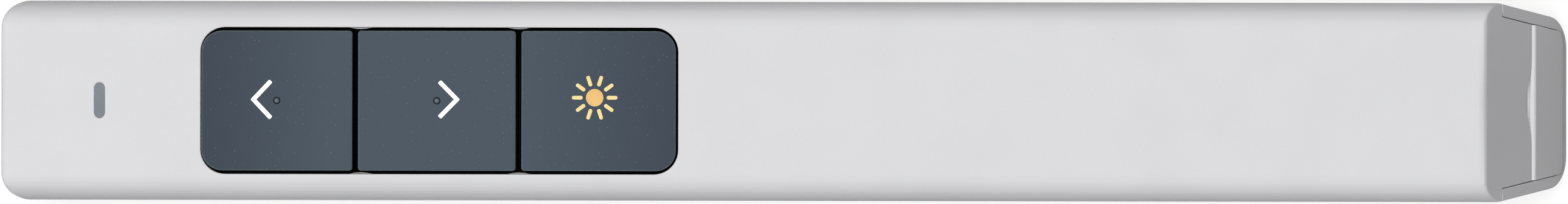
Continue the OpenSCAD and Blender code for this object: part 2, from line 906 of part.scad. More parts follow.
module battery_box() {
    color(dark) difference() {
        union() {
            for (side = [-1, 1]) {
                translate([0, side * (box_in_y + box_out_y) / 2, 0])
                    block([box_front, -box_side / 2, box_base], [box_rear, box_side / 2, top_under]);
                translate([0, side * (box_in_y + hook_y) / 2, 0])
                    block([bead_front, (box_in_y - hook_y) / 2, box_base],
                        [bead_rear, (hook_y - box_in_y) / 2, hook_top]);
            }
            block([box_front, -box_out_y, box_end_base], [positive_x, box_out_y, top_under]);
            block([box_rear_wall, -box_out_y, box_end_base], [box_rear, box_out_y, top_under]);
            block([rear_boss_x - boss_size / 2, -boss_size / 2, board_base - ear_thick],
                [box_front + eps, boss_size / 2, board_base]);
            block([box_rear - eps, -box_out_y, ear_top - ear_thick],
                [box_rear + ear_length, box_out_y, ear_top]);
        }
        at_case_screws() rod(0, 0, 0, screw_pass, body_height);
        at_box_screws() rod(0, 0, 0, screw_pass, body_height);
        block([box_front - 1, lead_y - lead_slot / 2, lead_z - lead_slot / 2],
            [positive_x + 1, lead_y + lead_slot / 2, body_height]);
        block([box_front - 1, tab_y - tab_width / 2 - fit, board_top - fit],
            [positive_x + 1, tab_y + tab_width / 2 + fit, board_top + contact_thick + fit]);
    }
}

module battery_cell() {
    color(cell_colour) disc(cell_front, cell_z, cell_size, cell_length - nub_length);
}

module battery_nub() {
    color(steel) disc(nub_front, cell_z, nub_size, nub_length);
}

module contact_plate(x) {
    block([x, -contact_size / 2, contact_base], [x + contact_thick, contact_size / 2,
        contact_base + contact_size]);
}

module positive_contact() {
    color(steel) {
        contact_plate(positive_x);
        block([tab_end, tab_y - tab_width / 2, board_top],
            [positive_x + fit, tab_y + tab_width / 2, board_top + contact_thick]);
    }
}

module negative_contact() {
    color(steel) {
        contact_plate(negative_x);
        block([negative_x, lead_y - tab_width, contact_base + contact_size - tab_width],
            [negative_x + contact_thick, lead_y + lead_size / 2, lead_z + lead_size / 2]);
    }
}

module negative_spring() {
    color(steel) tube(spring_path, spring_wire, 6, [0, 0, 1]);
}

module battery_lead() {
    color(dark)
        tube([[negative_x, lead_y, lead_z], [negative_x - lead_size, lead_y, lead_z],
            [cell_front, lead_y, lead_z], [box_front - lead_size / 2, lead_y, lead_z],
            [box_front - lead_size, lead_y - lead_size, lead_z - lead_size / 4],
            [rear_boss_x + boss_size / 2, boss_y / 2, lead_z - lead_size],
            [rear_boss_x + boss_size / 2, boss_y / 2, board_top + lead_size],
            [rear_boss_x + boss_size / 2, boss_y / 2, board_top]],
            lead_size, lead_sides, [0, 0, 1]);
}

module box_screws() {
    color(steel) at_box_screws()
        screw(ear_top - ear_thick, ear_top + box_boss - 1 - screw_spare, screw_size, head_size,
            head_thick);
}

module receiver_cap() {
    lip_x = tail_x(cap_top) + cap_proud;
    color(white) difference() {
        intersection() {
            along_x(cap_front, tail) polygon(section(wall + cap_gap));
            along_y(body_width) before_tail(cap_front, cap_proud, 0, cap_top);
        }
        block([cap_front - 1, -receiver_board_size[1] / 2 - fit, plug_z - receiver_board_size[2]],
            [cap_front + receiver_board_size[0] + fit, receiver_board_size[1] / 2 + fit,
            plug_z + receiver_board_size[2]]);
        block([lip_x - nail_back - nail_groove, -nail_width / 2, cap_top - nail_groove],
            [lip_x - nail_back, nail_width / 2, cap_top + 1]);
    }
}

module plug_outline(inset) {
    y = plug_width / 2 - inset;
    r = plug_corner - inset;
    translate([0, plug_z]) polygon(round_box(-y, y, plug_height / 2 - inset, r, r));
}

module usb_shell() {
    hole = 2.2;
    color(steel) difference() {
        along_x(plug_end, cap_front) plug_outline(0);
        along_x(plug_end - 1, cap_front + 1) plug_outline(plug_sheet);
        for (side = [-1, 1])
            translate([plug_end + plug_length / 2, side * plug_width / 4, plug_z])
                cube([hole, hole, plug_height + 1], center = true);
    }
}

module usb_tongue() {
    color(dark) block([plug_end + plug_sheet, -tongue_y, tongue_low],
        [cap_front, tongue_y, tongue_low + tongue_thick]);
}

module usb_contacts() {
    color(gold)
        for (i = [-1.5:1:1.5])
            translate([plug_end + plug_length / 2, i * pin_pitch,
                tongue_low + tongue_thick + pin_size[2] / 2])
                cube(pin_size, center = true);
}

module receiver_board() {
    color(board_green)
        translate([cap_front + receiver_board_size[0] / 2, 0, plug_z])
            cube(receiver_board_size, center = true);
}

top_cover();
front_shell();
rear_cover();
light_guide();
laser_window();
key_previous();
key_next();
key_laser();
main_board();
radio_chip();
crystal();
board_passives();
indicator_led();
switch_base("previous");  // switch_base_previous
switch_base("next");  // switch_base_next
switch_base("laser");  // switch_base_laser
switch_plate("previous");  // switch_plate_previous
switch_plate("next");  // switch_plate_next
switch_plate("laser");  // switch_plate_laser
switch_plunger("previous");  // switch_plunger_previous
switch_plunger("next");  // switch_plunger_next
switch_plunger("laser");  // switch_plunger_laser
key_mat();
board_screws();
case_screws();
laser_barrel();
laser_lens();
laser_diode();
laser_board();
laser_leads();
battery_box();
battery_cell();
battery_nub();
positive_contact();
negative_contact();
negative_spring();
battery_lead();
box_screws();
receiver_cap();
usb_shell();
usb_tongue();
usb_contacts();
receiver_board();
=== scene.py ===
import json
from math import cos, hypot, pi, radians, sin, sqrt

import bmesh
import bpy
from mathutils import Matrix, Vector
from mathutils.bvhtree import BVHTree
from mathutils.geometry import intersect_point_line


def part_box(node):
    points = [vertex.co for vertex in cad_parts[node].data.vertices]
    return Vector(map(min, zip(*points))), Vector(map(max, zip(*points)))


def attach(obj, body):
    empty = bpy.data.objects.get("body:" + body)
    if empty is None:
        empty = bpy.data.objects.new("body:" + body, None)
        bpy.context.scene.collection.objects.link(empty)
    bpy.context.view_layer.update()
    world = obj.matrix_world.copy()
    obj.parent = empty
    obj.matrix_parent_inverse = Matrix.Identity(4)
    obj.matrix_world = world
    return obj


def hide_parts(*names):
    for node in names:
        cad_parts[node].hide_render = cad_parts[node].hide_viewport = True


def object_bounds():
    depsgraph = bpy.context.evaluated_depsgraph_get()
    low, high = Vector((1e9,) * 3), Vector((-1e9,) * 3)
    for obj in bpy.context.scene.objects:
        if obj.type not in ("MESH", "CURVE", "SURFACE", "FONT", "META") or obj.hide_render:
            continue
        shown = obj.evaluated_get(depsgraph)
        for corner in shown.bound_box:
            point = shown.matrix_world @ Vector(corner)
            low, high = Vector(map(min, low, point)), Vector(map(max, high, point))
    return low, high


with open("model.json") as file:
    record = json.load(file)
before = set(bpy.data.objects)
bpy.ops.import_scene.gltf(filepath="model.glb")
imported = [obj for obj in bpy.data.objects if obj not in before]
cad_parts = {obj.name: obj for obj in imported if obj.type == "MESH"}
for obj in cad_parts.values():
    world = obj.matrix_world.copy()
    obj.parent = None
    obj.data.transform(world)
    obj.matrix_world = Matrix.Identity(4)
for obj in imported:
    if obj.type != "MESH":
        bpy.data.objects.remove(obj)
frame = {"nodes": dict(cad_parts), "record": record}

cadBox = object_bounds()
nodes = frame["nodes"]
mm = 0.001
print("frame loaded:", len(nodes), "nodes")


# helpers for node materials

def startMaterial(name):
    mat = bpy.data.materials.new(name)
    mat.use_nodes = True
    tree = mat.node_tree
    tree.nodes.clear()
    out = tree.nodes.new("ShaderNodeOutputMaterial")
    shader = tree.nodes.new("ShaderNodeBsdfPrincipled")
    tree.links.new(shader.outputs["BSDF"], out.inputs["Surface"])
    place = tree.nodes.new("ShaderNodeTexCoord")
    return mat, tree, shader, place.outputs["Object"]


def linear(colour):
    # sRGB 0-255 as read, to the linear values of the sockets
    part = [c / 255 for c in colour]
    return [c / 12.92 if c <= 0.04045 else ((c + 0.055) / 1.055) ** 2.4 for c in part] + [1]


def noiseNode(tree, place, sizeMm, detail=3, roughness=0.55, stretch=(1, 1, 1)):
    shift = tree.nodes.new("ShaderNodeMapping")
    shift.inputs["Scale"].default_value = stretch
    tree.links.new(place, shift.inputs["Vector"])
    noise = tree.nodes.new("ShaderNodeTexNoise")
    noise.inputs["Scale"].default_value = 1 / (sizeMm * mm)
    noise.inputs["Detail"].default_value = detail
    noise.inputs["Roughness"].default_value = roughness
    tree.links.new(shift.outputs["Vector"], noise.inputs["Vector"])
    return noise.outputs["Fac"]


def rangeNode(tree, value, fromLow, fromHigh, toLow=0, toHigh=1):
    node = tree.nodes.new("ShaderNodeMapRange")
    for key, number in zip(("From Min", "From Max", "To Min", "To Max"),
                           (fromLow, fromHigh, toLow, toHigh)):
        node.inputs[key].default_value = number
    tree.links.new(value, node.inputs["Value"])
    return node.outputs["Result"]


def mathNode(tree, kind, first, second):
    node = tree.nodes.new("ShaderNodeMath")
    node.operation = kind
    for socket, value in zip(node.inputs, (first, second)):
        if isinstance(value, (int, float)):
            socket.default_value = value
        else:
            tree.links.new(value, socket)
    return node.outputs["Value"]


def mixColour(tree, factor, first, second):
    node = tree.nodes.new("ShaderNodeMix")
    node.data_type = "RGBA"
    tree.links.new(factor, node.inputs["Factor"])
    for key, value in (("A", first), ("B", second)):
        socket = [s for s in node.inputs if s.name == key and s.type == "RGBA"][0]
        if isinstance(value, (list, tuple)):
            socket.default_value = value
        else:
            tree.links.new(value, socket)
    return [s for s in node.outputs if s.type == "RGBA"][0]


def axisOf(tree, place, axis):
    node = tree.nodes.new("ShaderNodeSeparateXYZ")
    tree.links.new(place, node.inputs["Vector"])
    return node.outputs[axis]


def bumpNode(tree, shader, height, depthMm, strength=1.0):
    node = tree.nodes.new("ShaderNodeBump")
    node.inputs["Strength"].default_value = strength
    node.inputs["Distance"].default_value = depthMm * mm
    tree.links.new(height, node.inputs["Height"])
    tree.links.new(node.outputs["Normal"], shader.inputs["Normal"])


def specks(tree, place, spacingMm, share, sizeMm, core=0.4):
    # one dot in some of the cells of a Voronoi net, full in its core and fading to its rim
    net = tree.nodes.new("ShaderNodeTexVoronoi")
    net.inputs["Scale"].default_value = 1 / (spacingMm * mm)
    tree.links.new(place, net.inputs["Vector"])
    dot = rangeNode(tree, net.outputs["Distance"], sizeMm / spacingMm, core * sizeMm / spacingMm)
    hue = tree.nodes.new("ShaderNodeSeparateColor")
    tree.links.new(net.outputs["Color"], hue.inputs["Color"])
    chosen = mathNode(tree, "LESS_THAN", hue.outputs["Red"], share)
    return mathNode(tree, "MULTIPLY", dot, chosen)


def speckled(tree, place, base, look):
    spots = specks(tree, place, look["speckGap"], look["speckShare"], look["speckSize"])
    return mixColour(tree, mathNode(tree, "MULTIPLY", spots, look["speckMix"]),
                     base, linear(look["speck"]))


# the part of a noise's range that shows as colour and as roughness, and how far roughness swings
colourSpan, roughSpan = (0.35, 0.65), (0.3, 0.7)
roughSwing = {"plastic": (0.06, 0.06), "board": (0.04, 0.06), "wrap": (0.05, 0.05),
              "metal": (0.07, 0.09), "clear": (0.02, 0.04)}


def mottled(tree, noise, look):
    return mixColour(tree, rangeNode(tree, noise, *colourSpan),
                     linear(look["dark"]), linear(look["light"]))


def uneven(tree, noise, rough, kind):
    less, more = roughSwing[kind]
    return rangeNode(tree, noise, *roughSpan, rough - less, rough + more)


# moulded plastics: grain in bump and roughness, a faint mottle, dust specks

def mouldedPlastic(name, look):
    mat, tree, shader, place = startMaterial(name)
    grain = noiseNode(tree, place, look["grain"], detail=4)
    base = mottled(tree, noiseNode(tree, place, look["cloud"], detail=2), look)
    if "speck" in look:
        base = speckled(tree, place, base, look)
    tree.links.new(base, shader.inputs["Base Color"])
    tree.links.new(uneven(tree, grain, look["rough"], "plastic"), shader.inputs["Roughness"])
    shader.inputs["Specular IOR Level"].default_value = look["gloss"]
    bumpNode(tree, shader, grain, look["grainDepth"])
    return mat


plastics = {
    "shellWhite": {"dark": (219, 219, 221), "light": (221, 221, 223), "cloud": 6, "grain": 0.16,
                   "grainDepth": 0.012, "rough": 0.56, "gloss": 0.16, "speck": (120, 118, 114),
                   "speckGap": 1.3, "speckShare": 0.05, "speckSize": 0.05, "speckMix": 0.5},
    "guideGrey": {"dark": (125, 132, 139), "light": (129, 137, 144), "cloud": 2, "grain": 0.2,
                  "grainDepth": 0.004, "rough": 0.6, "gloss": 0.15},
    "chevronWhite": {"dark": (248, 248, 248), "light": (255, 255, 255), "cloud": 1, "grain": 0.08,
                     "grainDepth": 0.003, "rough": 0.5, "gloss": 0.3},
    "sunOrange": {"dark": (236, 189, 112), "light": (240, 195, 120), "cloud": 0.8, "grain": 0.08,
                  "grainDepth": 0.003, "rough": 0.5, "gloss": 0.2},
    "sunYellow": {"dark": (243, 218, 150), "light": (247, 226, 158), "cloud": 0.8, "grain": 0.08,
                  "grainDepth": 0.003, "rough": 0.5, "gloss": 0.2},
    "chipBlack": {"dark": (24, 24, 26), "light": (34, 34, 36), "cloud": 1.5, "grain": 0.05,
                  "grainDepth": 0.006, "rough": 0.62, "gloss": 0.4},
    # painted shade: the key mat under the keys is made near-black so the gaps between keys read as
    # black shade
    "gapShadeBlack": {"dark": (9, 9, 10), "light": (13, 13, 14), "cloud": 3, "grain": 0.1,
                 "grainDepth": 0.006, "rough": 0.75, "gloss": 0.1},
    "boxBlack": {"dark": (28, 28, 30), "light": (36, 36, 38), "cloud": 4, "grain": 0.12,
                 "grainDepth": 0.01, "rough": 0.5, "gloss": 0.4},
    "plungerBlack": {"dark": (20, 20, 22), "light": (30, 30, 31), "cloud": 1, "grain": 0.06,
                     "grainDepth": 0.004, "rough": 0.45, "gloss": 0.45},
    "wireRed": {"dark": (168, 28, 24), "light": (186, 38, 32), "cloud": 1, "grain": 0.1,
                "grainDepth": 0.004, "rough": 0.4, "gloss": 0.45},
    "wireBlack": {"dark": (22, 22, 23), "light": (32, 32, 33), "cloud": 1, "grain": 0.1,
                  "grainDepth": 0.004, "rough": 0.4, "gloss": 0.45},
    "passiveTan": {"dark": (150, 118, 84), "light": (168, 136, 98), "cloud": 0.6, "grain": 0.05,
                   "grainDepth": 0.003, "rough": 0.5, "gloss": 0.4},
}
# slate keys: a lighter tone painted on the middle one, a pale top edge of wear and painted
# highlight, painted shade down the lower part and on the feel dots' sides; heights in mm
keySlateLook = {
    # the lighter tone of the middle key is painted light
    "end": (55, 65, 76), "middle": (70, 81, 92), "span": (-53, -42, -24, -9),
    "grain": 0.1, "grainDepth": 0.008, "rough": 0.58, "gloss": 0.12,
    "speck": (150, 158, 164), "speckGap": 0.36, "speckShare": 0.4, "speckSize": 0.05,
    # painted shade: the near-black lower part of each key stands in for the shade in the gaps
    # between keys
    "speckMix": 0.4, "skirt": (5, 5, 6), "skirtZ": (14.34, 14.22), "skirtRough": 0.98,
    # the pale fringe on the top edge is partly wear and partly a painted highlight of the edge
    # catching light
    "fringe": (112, 120, 122), "fringeZ": (14.4985, 14.47), "fringeGrain": (0.35, 0.6),
    # painted shade on the sides of the feel dots, and a painted highlight with some wear on their
    # tops
    "fringeMix": (0.2, 0.75), "dotShade": (26, 30, 34), "dotShadeZ": (14.502, 14.512),
    "dotTopWearHighlight": (104, 114, 120), "dotTopWearHighlightZ": (14.575, 14.64),
}


def keyFinish(name, look):
    mat, tree, shader, place = startMaterial(name)
    along, height = axisOf(tree, place, "X"), axisOf(tree, place, "Z")

    def byHeight(key, *to):
        return rangeNode(tree, height, *(v * mm for v in look[key]), *to)

    # painted light: a lighter tone painted on the middle key, fading to the end keys
    a, b, c, d = (v * mm for v in look["span"])
    middle = mathNode(tree, "MULTIPLY", rangeNode(tree, along, a, b), rangeNode(tree, along, d, c))
    grain = noiseNode(tree, place, look["grain"], detail=4)
    base = mixColour(tree, middle, linear(look["end"]), linear(look["middle"]))
    base = speckled(tree, place, base, look)
    # pale top edge: wear together with a painted highlight where the edge catches light
    wornAndLitEdge = mathNode(tree, "MULTIPLY", byHeight("fringeZ"),
                    rangeNode(tree, grain, *look["fringeGrain"], *look["fringeMix"]))
    base = mixColour(tree, wornAndLitEdge, base, linear(look["fringe"]))
    # painted shade: the lower part of each key is made near-black so the gaps between keys read
    # dark
    for part in ("dotShade", "dotTopWearHighlight", "skirt"):
        # painted shade on the feel dots' sides, a painted highlight with some wear on their tops
        base = mixColour(tree, byHeight(part + "Z"), base, linear(look[part]))
    tree.links.new(base, shader.inputs["Base Color"])
    rough = uneven(tree, grain, look["rough"], "plastic")
    deep = byHeight("skirtZ", 0, look["skirtRough"])
    tree.links.new(mathNode(tree, "MAXIMUM", rough, deep), shader.inputs["Roughness"])
    shader.inputs["Specular IOR Level"].default_value = look["gloss"]
    bumpNode(tree, shader, grain, look["grainDepth"])
    return mat


finish = {name: mouldedPlastic(name, look) for name, look in plastics.items()}
finish["keySlate"] = keyFinish("keySlate", keySlateLook)


# circuit boards: green mask with paler tracks and tinned holes

def boardFinish(name, look):
    mat, tree, shader, place = startMaterial(name)
    cloud = noiseNode(tree, place, look["cloud"], detail=2)
    base = mottled(tree, cloud, look)
    net = tree.nodes.new("ShaderNodeTexBrick")
    net.inputs["Scale"].default_value = 1 / (look["trackGap"] * mm)
    net.inputs["Mortar Size"].default_value = look["trackWidth"] / look["trackGap"]
    net.inputs["Brick Width"].default_value = look["trackLong"]
    net.inputs["Row Height"].default_value = 1
    tree.links.new(place, net.inputs["Vector"])
    base = mixColour(tree, mathNode(tree, "MULTIPLY", net.outputs["Fac"], look["trackMix"]),
                     base, linear(look["track"]))
    holes = specks(tree, place, look["holeGap"], look["holeShare"], look["holeSize"])
    base = mixColour(tree, holes, base, linear(look["hole"]))
    tree.links.new(base, shader.inputs["Base Color"])
    tree.links.new(uneven(tree, cloud, look["rough"], "board"), shader.inputs["Roughness"])
    bumpNode(tree, shader, net.outputs["Fac"], look["trackDepth"])
    return mat


finish["boardGreen"] = boardFinish("boardGreen", {
    "dark": (20, 78, 48), "light": (28, 92, 58), "cloud": 2, "track": (66, 136, 84),
    "trackGap": 0.9, "trackLong": 3.2, "trackWidth": 0.1, "trackMix": 0.7, "trackDepth": 0.01,
    "hole": (196, 190, 170), "holeGap": 1.7, "holeShare": 0.35, "holeSize": 0.16, "rough": 0.36})


# battery wrap: plain film with one pale ring and a plus and a minus sign

def wrapFinish(name, look):
    mat, tree, shader, place = startMaterial(name)
    along, side, up = (axisOf(tree, place, axis) for axis in "XYZ")
    film = noiseNode(tree, place, look["cloud"], detail=2, roughness=0.5, stretch=look["stretch"])
    base = mottled(tree, film, look)

    def within(value, middle, half):
        off = mathNode(tree, "ABSOLUTE", mathNode(tree, "SUBTRACT", value, middle * mm), 0)
        return mathNode(tree, "LESS_THAN", off, half * mm)

    def bar(x, halfLong, halfWide):
        spot = mathNode(tree, "MULTIPLY", within(along, x, halfLong), within(side, 0, halfWide))
        return mathNode(tree, "MULTIPLY", spot, mathNode(tree, "LESS_THAN", up, look["axisZ"] * mm))

    long, wide = look["signLong"], look["signWide"]
    marks = [within(along, look["ringX"], look["ringHalf"]), bar(look["plusX"], long, wide),
             bar(look["plusX"], wide, long), bar(look["minusX"], wide, long)]
    pale = marks[0]
    for mark in marks[1:]:
        pale = mathNode(tree, "MAXIMUM", pale, mark)
    tree.links.new(mixColour(tree, pale, base, linear(look["pale"])), shader.inputs["Base Color"])
    tree.links.new(uneven(tree, film, look["rough"], "wrap"), shader.inputs["Roughness"])
    bumpNode(tree, shader, film, look["filmDepth"])
    return mat


finish["cellWrap"] = wrapFinish("cellWrap", {
    "dark": (58, 84, 104), "light": (66, 94, 114), "cloud": 3, "stretch": (0.2, 1, 1),
    "pale": (214, 218, 220), "axisZ": 6.6, "ringX": 1.1, "ringHalf": 0.5, "plusX": 5,
    "minusX": 37.5, "signLong": 1.3, "signWide": 0.28, "rough": 0.32, "filmDepth": 0.006})


# metals: a brushed or turned scratch pattern in roughness and bump

def metalFinish(name, look):
    mat, tree, shader, place = startMaterial(name)
    lines = noiseNode(tree, place, look["grain"], detail=3, roughness=0.6, stretch=look["stretch"])
    base = mottled(tree, noiseNode(tree, place, look["cloud"], detail=2), look)
    tree.links.new(base, shader.inputs["Base Color"])
    shader.inputs["Metallic"].default_value = 1
    tree.links.new(uneven(tree, lines, look["rough"], "metal"), shader.inputs["Roughness"])
    bumpNode(tree, shader, lines, look["grainDepth"])
    return mat


metals = {
    "steel": {"dark": (184, 186, 188), "light": (193, 195, 197), "cloud": 4, "grain": 0.05,
              "stretch": (0.15, 1, 1), "rough": 0.3, "grainDepth": 0.002},
    "brass": {"dark": (184, 146, 78), "light": (204, 166, 96), "cloud": 2, "grain": 0.06,
              "stretch": (1, 0.15, 0.15), "rough": 0.28, "grainDepth": 0.003},
    "contactGold": {"dark": (214, 170, 88), "light": (228, 186, 104), "cloud": 1, "grain": 0.05,
                    "stretch": (0.2, 1, 1), "rough": 0.22, "grainDepth": 0.001},
}
finish.update({name: metalFinish(name, look) for name, look in metals.items()})


# clear acrylic and milky LED resin

def clearFinish(name, look):
    mat, tree, shader, place = startMaterial(name)
    haze = noiseNode(tree, place, look["grain"], detail=2)
    shader.inputs["Base Color"].default_value = linear(look["colour"])
    shader.inputs["Transmission Weight"].default_value = look["clear"]
    shader.inputs["IOR"].default_value = look["ior"]
    tree.links.new(uneven(tree, haze, look["rough"], "clear"), shader.inputs["Roughness"])
    return mat


clears = {
    "windowClear": {"colour": (236, 232, 232), "clear": 1.0, "ior": 1.49, "rough": 0.04,
                    "grain": 0.8},
    "ledClear": {"colour": (240, 236, 214), "clear": 0.6, "ior": 1.5, "rough": 0.2, "grain": 0.3},
}
finish.update({name: clearFinish(name, look) for name, look in clears.items()})
print("finishes:", len(finish))

# each record slot and the finish that stands for it
slotFinish = {
    "shell_white": "shellWhite", "key_slate": "keySlate", "indicator_grey": "guideGrey",
    "window_clear": "windowClear", "led_clear": "ledClear", "board_green": "boardGreen",
    "chip_black": "chipBlack", "plunger_black": "plungerBlack", "passive_tan": "passiveTan",
    "box_black": "boxBlack", "cell_wrap": "cellWrap", "steel": "steel", "brass": "brass",
    "contact_gold": "contactGold", "wire_red": "wireRed", "wire_black": "wireBlack",
}
# painted shade: the key mat is made darker than its slot so the gaps between keys show as black
# shade
ownFinish = {"key_mat": "gapShadeBlack"}  # darker than the rest of its slot
nodeSlot = {name: ob.material_slots[0].material.name for name, ob in nodes.items()}
for name, ob in nodes.items():
    ob.material_slots[0].material = finish[ownFinish.get(name, slotFinish[nodeSlot[name]])]


# helpers for pieces

# mm and degrees: points that are one, an edge that lies on a height, flat and sharp edges
limits = {"weld": 0.002, "level": 0.01, "flat": 0.2, "sharp": 35}


def meshObject(name, bm, finishName, body, smoothAngle=limits["sharp"]):
    mesh = bpy.data.meshes.new(name)
    bm.to_mesh(mesh)
    bm.free()
    mesh.materials.append(finish[finishName])
    mesh.polygons.foreach_set("use_smooth", [True] * len(mesh.polygons))
    mesh.set_sharp_from_angle(angle=radians(smoothAngle))
    ob = bpy.data.objects.new(name, mesh)
    bpy.context.scene.collection.objects.link(ob)
    weigh = ob.modifiers.new("flatFaces", "WEIGHTED_NORMAL")
    weigh.keep_sharp = True
    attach(ob, body)
    return ob


def unique(items):
    return list(dict.fromkeys(items))  # in the same order every run, which a set is not


def allOf(bm):
    return bm.verts[:] + bm.edges[:] + bm.faces[:]


def mergedCopy(node, tiny=0.004, halves=False):
    weld = limits["weld"] * mm
    bm = bmesh.new()
    bm.from_mesh(nodes[node].data)
    bmesh.ops.remove_doubles(bm, verts=bm.verts, dist=weld)
    inFace = bm.edges[:]
    if halves:  # a cut along the middle stays, so that no face closes round a hole
        bmesh.ops.bisect_plane(bm, geom=allOf(bm), dist=weld,
                               plane_co=(0, 0, 0), plane_no=(0, 1, 0))
        inFace = [e for e in bm.edges if any(abs(v.co.y) > 1.5 * weld for v in e.verts)]
    bmesh.ops.dissolve_limit(bm, angle_limit=radians(limits["flat"]), verts=bm.verts, edges=inFace)
    bmesh.ops.dissolve_degenerate(bm, dist=tiny * mm, edges=bm.edges)
    return bm


def toMetres(bm):
    bmesh.ops.scale(bm, verts=bm.verts, vec=(mm, mm, mm))


def thicken(bm, depth):
    up = bmesh.ops.extrude_face_region(bm, geom=bm.faces[:])
    moved = [g for g in up["geom"] if isinstance(g, bmesh.types.BMVert)]
    bmesh.ops.translate(bm, verts=moved, vec=(0, 0, depth))
    bmesh.ops.recalc_face_normals(bm, faces=bm.faces)


def middleOf(edge):
    return (edge.verts[0].co + edge.verts[1].co) / (2 * mm)


def roundEdges(bm, pick, widthMm, steps):
    edges = [e for e in bm.edges if len(e.link_faces) == 2 and e.is_convex
             and e.calc_face_angle() > radians(limits["sharp"]) and pick(e)]
    span = [(min(v.co[i] for v in bm.verts), max(v.co[i] for v in bm.verts)) for i in range(3)]
    if edges and widthMm:
        bmesh.ops.bevel(bm, geom=edges, offset=widthMm * mm, offset_type="OFFSET",
                        segments=steps, profile=0.5, affect="EDGES", clamp_overlap=False,
                        material=-1)
    for v in bm.verts:  # a bevel never reaches past the solid it softens
        v.co = [min(max(v.co[i], span[i][0]), span[i][1]) for i in range(3)]
    return len(edges)


# casing: outline edges are rounded, and the rims of seams, pocket and recesses just broken

casing = {
    "top_cover": {"body": "body", "front": 0.05, "tail": 0.2, "rim": 0.03, "pocket": 0.11},
    "front_shell": {"body": "body", "front": 0.05, "tail": 0, "rim": 0.05, "pocket": 0},
    "rear_cover": {"body": "rear_cover", "front": 0, "tail": 0.2, "rim": 0.03, "pocket": 0},
}
casingLook = {"tiny": 0.03, "tryIn": 0.15, "onSkin": 0.09, "fillet": 0.65,
              "pocketPast": 1, "pocketHalf": 7, "pocketZ": 13.5}
frontCorner = {"cadRound": 2.8, "round": 2.4, "onArc": 0.03, "backX": -68.4, "fromY": 5.9,
               "onSkin": 0.12, "weld": 0.02, "gap": 0.2, "firstCut": 0.6, "sharp": 34,
               "reach": 0.7, "rounds": 16, "factor": 0.5}
# the slot closes in a little on the indicator, and the indicator's neck grows to meet it
guideLook = {"round": 0.02, "steps": 2, "neck": 0.3, "pillGrow": (1.033, 1.029),
             "slotGrow": (0.94, 1.0), "slotDeep": 2}
guideLow, guideHigh = (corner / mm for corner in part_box("light_guide"))


def growGuide(verts, grow):
    middle = (guideLow + guideHigh) / 2
    for v in verts:
        for axis in (0, 1):
            v.co[axis] = (middle[axis] + (v.co[axis] / mm - middle[axis]) * grow[axis]) * mm


def bySlot(p):
    return guideLow.x < p.x < guideHigh.x and guideLow.y < p.y < guideHigh.y


def casingCopy(node):
    # in plan the front corners are a little tighter than the solid's
    bm = mergedCopy(node, casingLook["tiny"], halves=True)
    frontX, halfWide = cadBox[0].x / mm, cadBox[1].y / mm
    old, new = frontCorner["cadRound"], frontCorner["round"]
    for v in bm.verts:
        x, y = v.co.x / mm - frontX - old, abs(v.co.y) / mm - halfWide + old
        if x < 0 and y > 0 and hypot(x, y) > old - frontCorner["onArc"]:
            off = max(0, y + new - old)
            v.co.x = (frontX + new - sqrt(max(0, new ** 2 - off ** 2))) * mm
    deep = (guideHigh.z - guideLook["slotDeep"]) * mm
    growGuide([v for v in bm.verts if bySlot(v.co / mm) and v.co.z > deep], guideLook["slotGrow"])
    return bm


def hullTree(names):
    bm = bmesh.new()
    for name in names:
        part, mesh = casingCopy(name), bpy.data.meshes.new("hullPart")
        part.to_mesh(mesh)
        part.free()
        bm.from_mesh(mesh)
        bpy.data.meshes.remove(mesh)
    bmesh.ops.delete(bm, geom=bm.faces[:] + bm.edges[:], context="EDGES_FACES")
    bmesh.ops.convex_hull(bm, input=bm.verts)
    tree = BVHTree.FromBMesh(bm)
    bm.free()
    return tree


skin = hullTree(casing)
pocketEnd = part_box("key_laser")[1].x / mm + casingLook["pocketPast"]
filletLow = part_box("top_cover")[1].z / mm - casingLook["fillet"]


def skinFaces(edge):
    # how many of the edge's two faces lie on the casing's hull, tried a little way into each
    count = 0
    for loop in edge.link_loops:
        inward = loop.face.normal.cross(loop.link_loop_next.vert.co - loop.vert.co).normalized()
        spot = middleOf(edge) + inward * casingLook["tryIn"]
        count += skin.find_nearest(spot * mm)[3] < casingLook["onSkin"] * mm
    return count


def byTail(edge):
    return skinFaces(edge) == 2 and middleOf(edge).x > 0


def byFront(edge):
    return skinFaces(edge) == 2 and middleOf(edge).x < 0


def byPocket(edge):
    p = middleOf(edge)
    return (p.x < pocketEnd and abs(p.y) < casingLook["pocketHalf"] and p.z > casingLook["pocketZ"]
            and skinFaces(edge) == 1)


def byRim(edge):
    return skinFaces(edge) == 1 and not byPocket(edge) and not bySlot(middleOf(edge))


